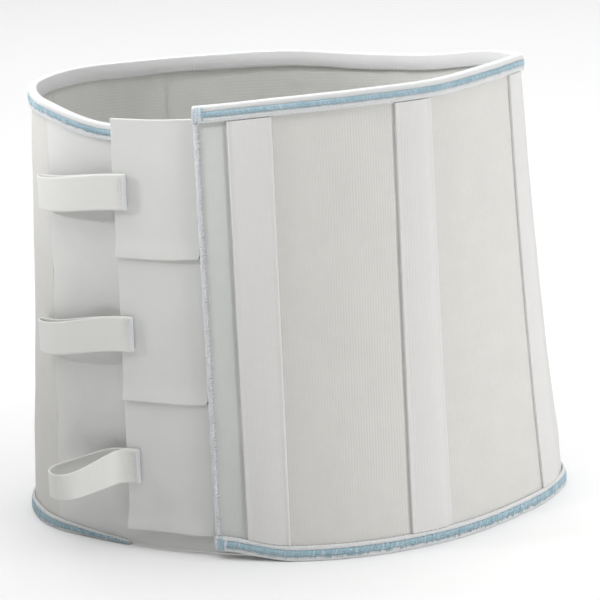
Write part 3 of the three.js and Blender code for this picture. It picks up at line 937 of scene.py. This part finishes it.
def loop_foot(i, rise):
    """The height of the lower edge of a loop's sewn end."""
    return (tab_foot(i) + tab_head(i) - LOOP_WIDTH) / 2 + rise * LOOP_LENGTH


def loop_path(z, reach, stand, opening):
    """A loop's tape in plan: out from its sewn end, round the fold and back, with the length run.

    It also gives the middle line's points at the tab's end and at the fold.
    """
    ply = LOOP_TAPE / 2 + GAP / 2

    def face_offset(s):
        return float(tab_inner(s)) + TAB + GAP + LOOP_TAPE + GAP / 2

    def middle_line(share):
        s = TAB_TIP - share * (reach * LOOP_LENGTH if share > 0 else LOOP_SEWN)
        if share <= 0:
            return place(s, z, face_offset(s))[:2]
        carried = TAB_SLOPE * (TAB_TIP - s) * (1 - share) ** 2
        return place(s, z, face_offset(TAB_TIP) + carried + stand * LOOP_LENGTH * share**1.5)[:2]

    def beside(share, hand, spread_share):
        at = middle_line(share)
        ahead = unit(middle_line(share + 0.01) - middle_line(share - 0.01))
        aside = hand * max(spread_share * opening * LOOP_LENGTH, ply)
        return at + aside * np.array([-ahead[1], ahead[0]])

    # The outer layer begins to leave the tab a little before the tab's end.
    inner = [(-1, 0), (-0.5, 0), (0, 0)] + LOOP_OUTLINE
    outer = [(-1, 0), (-0.5, 0), (0, 0.06)] + LOOP_OUTLINE[1:]
    there = [beside(share, -1, aside) for share, aside in inner]
    back = [beside(share, 1, aside) for share, aside in outer[::-1]]
    path, length = open_curve(there + [middle_line(1)] + back, LOOP_POINTS)
    return path, length, middle_line(0), middle_line(1)


def finger_loop(i, name, reach, stand, opening, droop, rise):
    """Twill tape on edge, folded in two and sewn to the tab's free end. It sags towards its fold."""
    node = "finger_loop_" + name
    low = loop_foot(i, rise)
    path, length, start, fold = loop_path(low + LOOP_WIDTH / 2, reach, stand, opening)
    along = unit(np.gradient(path, axis=0))
    out = np.stack([along[:, 1], -along[:, 0]], -1)
    free = (path - start) @ (fold - start) > 0
    away = np.where(free, np.linalg.norm(path - start, axis=1), 0) / np.linalg.norm(fold - start)
    sink = droop * LOOP_LENGTH * smooth(away)
    width = spread(0, LOOP_WIDTH, 1.2 * MM, 0.6 * MM)
    rim = np.minimum(width, LOOP_WIDTH - width)
    selvedge = 1 + 0.22 * ridge(rim, 1.1 * MM, 0.7 * MM)
    half = LOOP_TAPE / 2 * roundness(rim, 0.6 * MM) * selvedge
    # Where the fold stands off, the tape tips over and its lower edge comes up.
    tip = LOOP_TIP * stand * smooth(away)[None, :] * (1 - width / LOOP_WIDTH)[:, None]
    z = low + width[:, None] - sink[None, :] + tip

    def face(hand):
        xy = path[None, :] + hand * out[None, :] * half[:, None, None]
        return np.concatenate([xy, z[..., None]], -1)

    obj = shell(f"{node}_tape", face(1), face(-1), length[None, :], width[:, None], LOOP_TWILL)
    dress(obj, node)


def loop_stitches(i, name, rise):
    """Two rows across a loop's sewn end, and the whipping over its cut."""
    low = loop_foot(i, rise)
    pitch = 2.2 * MM
    outside = TAB + GAP + 2 * LOOP_TAPE + GAP
    z = low + 1.2 * MM + np.arange(int((LOOP_WIDTH - 2 * MM) / pitch)) * pitch
    starts, ends, lifts = [], [], []
    for inwards in (4.4 * MM, 6.2 * MM):
        s = np.full_like(z, TAB_TIP + inwards)
        starts.append(place(s, z, tab_inner(s) + outside))
        ends.append(place(s, z + 0.8 * pitch, tab_inner(s) + outside))
        lifts.append(out_of_wall(s, z))
    rows = map(np.concatenate, (starts, ends, lifts))
    threads(f"stitches_loop_{name}", "loop_tape", *rows, TAPE_THREAD)
    own = np.random.default_rng(60 + i)
    z = np.arange(low + 0.3 * MM, low + LOOP_WIDTH - 0.2 * MM, 0.62 * MM)
    s0 = TAB_TIP + LOOP_SEWN - own.uniform(0.5, 1.3, len(z)) * MM
    s1 = np.full_like(z, TAB_TIP + LOOP_SEWN + 0.25 * MM)
    over = tab_inner(s1) + outside
    turn = unit(place(s1, z, over) - place(s1 - 1 * MM, z, over)) + out_of_wall(s1, z)
    starts = np.concatenate([place(s0, z, over + 0.1 * MM), place(s1, z, over)])
    ends = np.concatenate([place(s1, z + 0.2 * MM, over), place(s1, z + 0.1 * MM, over - 2.3 * MM)])
    lifts = np.concatenate([out_of_wall(s0, z), turn])
    threads(f"stitches_loop_end_{name}", "loop_tape", starts, ends, lifts, WHITE_THREAD, 0.34 * MM)


def edge_cord(low, high):
    """The front edge's overlock, as a lumpy cord of thread."""
    z = np.arange(low, high, 0.5 * MM)
    wide = 1.15 * MM * (1 + 0.22 * ripple(z, 0, 12, 2.4 * MM) + 0.2 * ripple(z, 0, 13, 9 * MM))
    thick = 0.5 * MM * (1 + 0.3 * ripple(z, 0, 15, 2.4 * MM))
    s = 0.95 * MM + 0.3 * MM * ripple(z, 0, 14, 8 * MM)
    angle = 2 * math.pi * np.arange(10) / 10
    middle, out = place(s, z, 0.3 * MM), out_of_wall(s, z)
    aside = unit(place(s + 1 * MM, z, 0.3 * MM) - middle)
    across = aside[:, None] * (wide[:, None] * np.cos(angle))[..., None]
    rings = middle[:, None] + across + out[:, None] * (thick[:, None] * np.sin(angle))[..., None]
    cord = tube("front_edge_cord", rings, angle * MM, z[:, None], EDGE_THREAD)
    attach(cord, "root")


def edge_ticks(low, high):
    """Worn threads of uneven length that stray from the overlock over the cloth beside it."""
    own = np.random.default_rng(11)
    pitch = 0.85 * MM
    count = int((high - low) / pitch)
    z = low + np.arange(count) * pitch + own.uniform(-0.3, 0.3, count) * MM
    from_s = own.uniform(-0.35, 0.1, count) * MM
    to_s = own.uniform(1.8, 3.8, count) * MM
    starts = place(from_s, z, 0.45 * MM)
    ends = place(to_s, z + own.uniform(0.2, 1.5, count) * MM, 0.3 * MM)
    lifts = out_of_wall(from_s, z)
    threads("stitches_front_edge", "elastic", starts, ends, lifts, EDGE_THREAD, 0.3 * MM, rise=1.2)


def seam_stitches():
    """An upright zigzag over each seam, on the wall's inner face."""
    pitch, width, offset = 2.0 * MM, 4 * MM, -WALL - 0.05 * MM
    for name, s in CASINGS:
        low, high = BINDING_INNER + 1 * MM, float(rim_at(s)) - BINDING_INNER - 1 * MM
        count = int((high - low) / pitch)
        z0 = low + np.arange(count) * pitch
        swing = width / 2 * np.where(np.arange(count) % 2, 1, -1)
        starts, ends = place(s - swing, z0, offset), place(s + swing, z0 + 0.95 * pitch, offset)
        lifts = -out_of_wall(np.full(count, s), z0)
        threads(f"stitches_inside_{name}", "elastic", starts, ends, lifts, TAPE_THREAD, 0.15 * MM)


# Building the binder.

# The front strip wears the darker copy of the elastic, as painted shade.
wall_panel("front_strip", 0, FIRST_CASING, 1, SHADED_STRIP_ELASTIC, crease=0.7 * MM)
wall_panel("front_panel", FIRST_CASING, GROIN_SEAM, 2, ELASTIC, crease=0.5 * MM)
wall_panel("side_panel_right", GROIN_SEAM, HIP_SEAM, 3, ELASTIC, crease=0.2 * MM)
wall_panel("flank_panel_right", HIP_SEAM, BACK_FROM, 4, LEVEL_ELASTIC)
wall_panel("back_panel", BACK_FROM, BACK_TO, 5, LEVEL_ELASTIC)
wall_panel("flank_panel_left", BACK_TO, LEFT_SEAM, 6, LEVEL_ELASTIC)
wall_panel("side_panel_left", LEFT_SEAM, LANDING_FROM, 7, ELASTIC)
landing_panel()
for casing_name, casing_centre in CASINGS:
    casing(casing_name, casing_centre)
binding("top", TAB_TIP + BINDING_UNDER_TAB, -1)
binding("bottom", GIRTH - FOOT_BINDING_END, 1)
stripe_floats("top", TAB_TIP + BINDING_UNDER_TAB, -1)
stripe_floats("bottom", GIRTH - FOOT_BINDING_END, 1)
corner_wrap("top", -1)
corner_wrap("bottom", 1)
for tab_index, (tab_name, *loop_shares, loop_rise) in enumerate(LOOPS):
    hook_tab(tab_name, tab_index)
    finger_loop(tab_index, tab_name, *loop_shares, loop_rise)
    loop_stitches(tab_index, tab_name, loop_rise)
edge_low, edge_high = BINDING_OUTER + GAP, float(rim_at(0.0)) - BINDING_OUTER - GAP
edge_cord(edge_low, edge_high)
edge_ticks(edge_low, edge_high)
seam_stitches()


# Floor, light and camera.

FLOOR_TONE = 0.92
SPOT_RADIUS = 0.15  # of a spot's lamp, which softens its shadows


def put_on_stage(obj):
    bpy.context.scene.collection.objects.link(obj)


def floor(size):
    material = bpy.data.materials.new("floor")
    material.use_nodes = True
    shader = material.node_tree.nodes["Principled BSDF"]
    shader.inputs["Base Color"].default_value = (*[FLOOR_TONE] * 3, 1)
    shader.inputs["Roughness"].default_value = 0.9
    shader.inputs["Specular IOR Level"].default_value = 0.1
    mesh = bpy.data.meshes.new("floor")
    h = size / 2
    mesh.from_pydata([(-h, -h, 0), (h, -h, 0), (h, h, 0), (-h, h, 0)], [], [(0, 1, 2, 3)])
    mesh.materials.append(material)
    put_on_stage(bpy.data.objects.new("floor", mesh))


def add_light(data, place_at, aim, power):
    data.energy = power
    obj = bpy.data.objects.new(data.name, data)
    obj.location = place_at
    obj.rotation_euler = (Vector(aim) - Vector(place_at)).to_track_quat("-Z", "Y").to_euler()
    obj.visible_camera = False
    put_on_stage(obj)


def area_light(name, place_at, aim, size, power):
    data = bpy.data.lights.new(name, "AREA")
    data.shape = "SQUARE"
    data.size = size
    add_light(data, place_at, aim, power)


def spot_light(name, place_at, aim, beam, power):
    """A soft-edged pool of light. beam is its whole angle in degrees."""
    data = bpy.data.lights.new(name, "SPOT")
    data.spot_size = math.radians(beam)
    data.spot_blend = 1
    data.shadow_soft_size = SPOT_RADIUS
    add_light(data, place_at, aim, power)


def world(fill, seen):
    """White surroundings: fill is how much light they give, and seen how bright the camera sees them."""
    made = bpy.data.worlds.new("studio")
    made.use_nodes = True
    tree = made.node_tree
    strength = tree.nodes.new("ShaderNodeMapRange")
    strength.inputs["To Min"].default_value = fill
    strength.inputs["To Max"].default_value = seen
    ray = tree.nodes.new("ShaderNodeLightPath")
    tree.links.new(ray.outputs["Is Camera Ray"], strength.inputs["Value"])
    background = tree.nodes["Background"]
    background.inputs["Color"].default_value = (1.0, 1.0, 1.0, 1)
    tree.links.new(strength.outputs["Result"], background.inputs["Strength"])
    bpy.context.scene.world = made


def camera():
    """The photograph's camera: a long lens, a little above, held slightly out of level."""
    distance, height, aim_height = 1.250, 0.472, 0.127
    roll = math.radians(2.5)
    sensor, lens = 36, 132
    side = Vector((5.5 * MM, -4.9 * MM, 0))
    place_at = side + Vector((0, -distance, height))
    forward = (side + Vector((0, 0, aim_height)) - place_at).normalized()
    right = forward.cross(Vector((0, 0, 1))).normalized()
    up = right.cross(forward)
    right, up = right * math.cos(roll) - up * math.sin(roll), right * math.sin(roll) + up * math.cos(roll)
    data = bpy.data.cameras.new("camera")
    data.sensor_width = sensor
    data.lens = lens
    obj = bpy.data.objects.new("camera", data)
    rotation = Matrix((right, up, -forward)).transposed().to_4x4()
    obj.matrix_world = Matrix.Translation(place_at) @ rotation
    bpy.context.scene.camera = obj
    put_on_stage(obj)


floor(size=6.0)
world(fill=0.03, seen=0.9)
area_light("overhead", (0, 1, 2.7), aim=(0, 1, 0), size=6.0, power=188)
area_light("front_overhead", (0.1, -1, 2.2), aim=(0.1, -0.6, 0), size=2.5, power=8)
area_light("key", (1.8, -1.05, 0.42), aim=(0, 0, 0.14), size=0.8, power=16)
spot_light("upper_left", (-1.5, -0.2, 0.85), aim=(-0.13, -0.05, 0.31), beam=14, power=84)
spot_light("inside", (-0.8, -0.5, 1.6), aim=(0.05, 0.09, 0.24), beam=8, power=180)
bpy.context.scene.view_settings.view_transform = "Standard"
camera()
